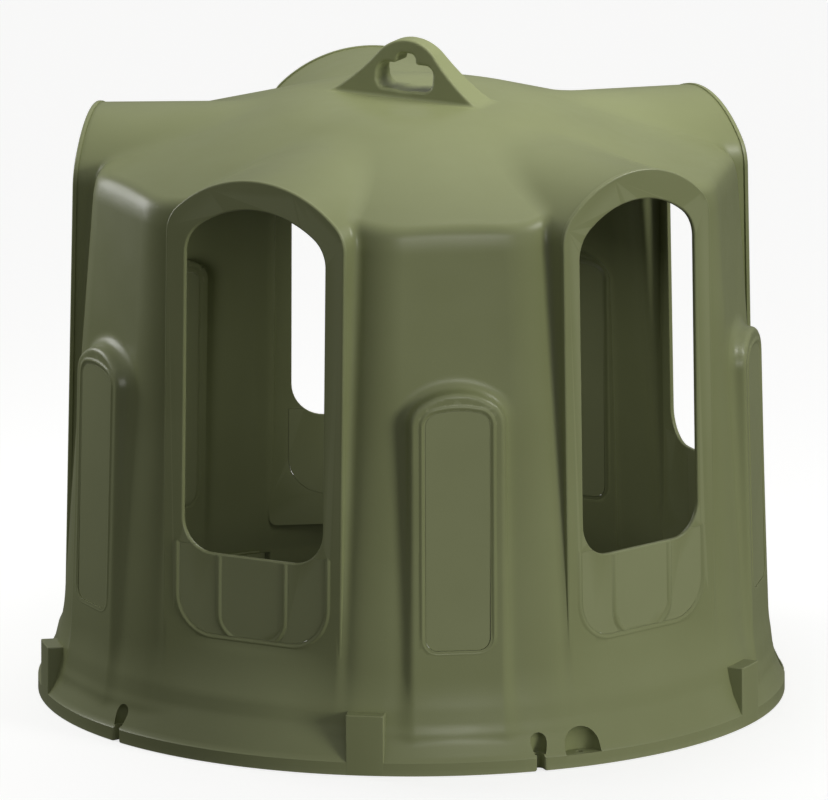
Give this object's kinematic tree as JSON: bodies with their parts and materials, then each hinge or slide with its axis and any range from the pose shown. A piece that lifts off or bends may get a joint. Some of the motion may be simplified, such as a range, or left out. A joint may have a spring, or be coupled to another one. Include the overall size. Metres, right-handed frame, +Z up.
{
  "type": "bell forage feeder",
  "caption": "Bell-shaped moulded forage feeder with arched feeding windows, a lifting eye, a flared foot with anchor slots and scored cut-out panels.",
  "frame": {"origin": "centre of the base circle, on the ground", "axes": "+Z up through the lifting eye; the first feeding window faces -Y and the lifting eye's fin lies in the XZ plane"},
  "size_m": [1.9, 1.8997, 1.69],
  "materials": {
    "moulded_shell": "satin olive green moulded polyethylene with fine mould texture",
    "lifting_eye": "satin olive green moulded polyethylene",
    "stacking_block": "satin olive green moulded polyethylene",
    "cut_out_panel": "satin olive green moulded polyethylene with fine mould texture"
  },
  "bodies": {
    "feeder": {"lifting_eye": "lifting_eye", "shell": "moulded_shell", "stacking_block_1": "stacking_block", "stacking_block_2": "stacking_block", "stacking_block_3": "stacking_block", "stacking_block_4": "stacking_block", "stacking_block_5": "stacking_block"},
    "side_panel_1": {"side_panel_1": "cut_out_panel"},
    "side_panel_2": {"side_panel_2": "cut_out_panel"},
    "side_panel_3": {"side_panel_3": "cut_out_panel"},
    "side_panel_4": {"side_panel_4": "cut_out_panel"},
    "side_panel_5": {"side_panel_5": "cut_out_panel"},
    "sill_panel_left_1": {"sill_panel_left_1": "cut_out_panel"},
    "sill_panel_left_2": {"sill_panel_left_2": "cut_out_panel"},
    "sill_panel_left_3": {"sill_panel_left_3": "cut_out_panel"},
    "sill_panel_left_4": {"sill_panel_left_4": "cut_out_panel"},
    "sill_panel_left_5": {"sill_panel_left_5": "cut_out_panel"},
    "sill_panel_middle_1": {"sill_panel_middle_1": "cut_out_panel"},
    "sill_panel_middle_2": {"sill_panel_middle_2": "cut_out_panel"},
    "sill_panel_middle_3": {"sill_panel_middle_3": "cut_out_panel"},
    "sill_panel_middle_4": {"sill_panel_middle_4": "cut_out_panel"},
    "sill_panel_middle_5": {"sill_panel_middle_5": "cut_out_panel"},
    "sill_panel_right_1": {"sill_panel_right_1": "cut_out_panel"},
    "sill_panel_right_2": {"sill_panel_right_2": "cut_out_panel"},
    "sill_panel_right_3": {"sill_panel_right_3": "cut_out_panel"},
    "sill_panel_right_4": {"sill_panel_right_4": "cut_out_panel"},
    "sill_panel_right_5": {"sill_panel_right_5": "cut_out_panel"}
  },
  "joints": [
    {"name": "side_panel_1_out", "type": "slide", "parent": "feeder", "child": "side_panel_1", "axis": [0.5876, -0.8088, 0.0239], "range_m": [0, 0.12]},
    {"name": "side_panel_2_out", "type": "slide", "parent": "feeder", "child": "side_panel_2", "axis": [0.9508, 0.3089, 0.0239], "range_m": [0, 0.12]},
    {"name": "side_panel_3_out", "type": "slide", "parent": "feeder", "child": "side_panel_3", "axis": [0, 0.9997, 0.0239], "range_m": [0, 0.12]},
    {"name": "side_panel_4_out", "type": "slide", "parent": "feeder", "child": "side_panel_4", "axis": [-0.9508, 0.3089, 0.0239], "range_m": [0, 0.12]},
    {"name": "side_panel_5_out", "type": "slide", "parent": "feeder", "child": "side_panel_5", "axis": [-0.5876, -0.8088, 0.0239], "range_m": [0, 0.12]},
    {"name": "sill_panel_left_1_out", "type": "slide", "parent": "feeder", "child": "sill_panel_left_1", "axis": [0, -0.9998, 0.0199], "range_m": [0, 0.08]},
    {"name": "sill_panel_left_2_out", "type": "slide", "parent": "feeder", "child": "sill_panel_left_2", "axis": [0.9509, -0.309, 0.0199], "range_m": [0, 0.08]},
    {"name": "sill_panel_left_3_out", "type": "slide", "parent": "feeder", "child": "sill_panel_left_3", "axis": [0.5877, 0.8089, 0.0199], "range_m": [0, 0.08]},
    {"name": "sill_panel_left_4_out", "type": "slide", "parent": "feeder", "child": "sill_panel_left_4", "axis": [-0.5877, 0.8089, 0.0199], "range_m": [0, 0.08]},
    {"name": "sill_panel_left_5_out", "type": "slide", "parent": "feeder", "child": "sill_panel_left_5", "axis": [-0.9509, -0.309, 0.0199], "range_m": [0, 0.08]},
    {"name": "sill_panel_middle_1_out", "type": "slide", "parent": "feeder", "child": "sill_panel_middle_1", "axis": [0, -0.9998, 0.0199], "range_m": [0, 0.08]},
    {"name": "sill_panel_middle_2_out", "type": "slide", "parent": "feeder", "child": "sill_panel_middle_2", "axis": [0.9509, -0.309, 0.0199], "range_m": [0, 0.08]},
    {"name": "sill_panel_middle_3_out", "type": "slide", "parent": "feeder", "child": "sill_panel_middle_3", "axis": [0.5877, 0.8089, 0.0199], "range_m": [0, 0.08]},
    {"name": "sill_panel_middle_4_out", "type": "slide", "parent": "feeder", "child": "sill_panel_middle_4", "axis": [-0.5877, 0.8089, 0.0199], "range_m": [0, 0.08]},
    {"name": "sill_panel_middle_5_out", "type": "slide", "parent": "feeder", "child": "sill_panel_middle_5", "axis": [-0.9509, -0.309, 0.0199], "range_m": [0, 0.08]},
    {"name": "sill_panel_right_1_out", "type": "slide", "parent": "feeder", "child": "sill_panel_right_1", "axis": [0, -0.9998, 0.0199], "range_m": [0, 0.08]},
    {"name": "sill_panel_right_2_out", "type": "slide", "parent": "feeder", "child": "sill_panel_right_2", "axis": [0.9509, -0.309, 0.0199], "range_m": [0, 0.08]},
    {"name": "sill_panel_right_3_out", "type": "slide", "parent": "feeder", "child": "sill_panel_right_3", "axis": [0.5877, 0.8089, 0.0199], "range_m": [0, 0.08]},
    {"name": "sill_panel_right_4_out", "type": "slide", "parent": "feeder", "child": "sill_panel_right_4", "axis": [-0.5877, 0.8089, 0.0199], "range_m": [0, 0.08]},
    {"name": "sill_panel_right_5_out", "type": "slide", "parent": "feeder", "child": "sill_panel_right_5", "axis": [-0.9509, -0.309, 0.0199], "range_m": [0, 0.08]}
  ]
}
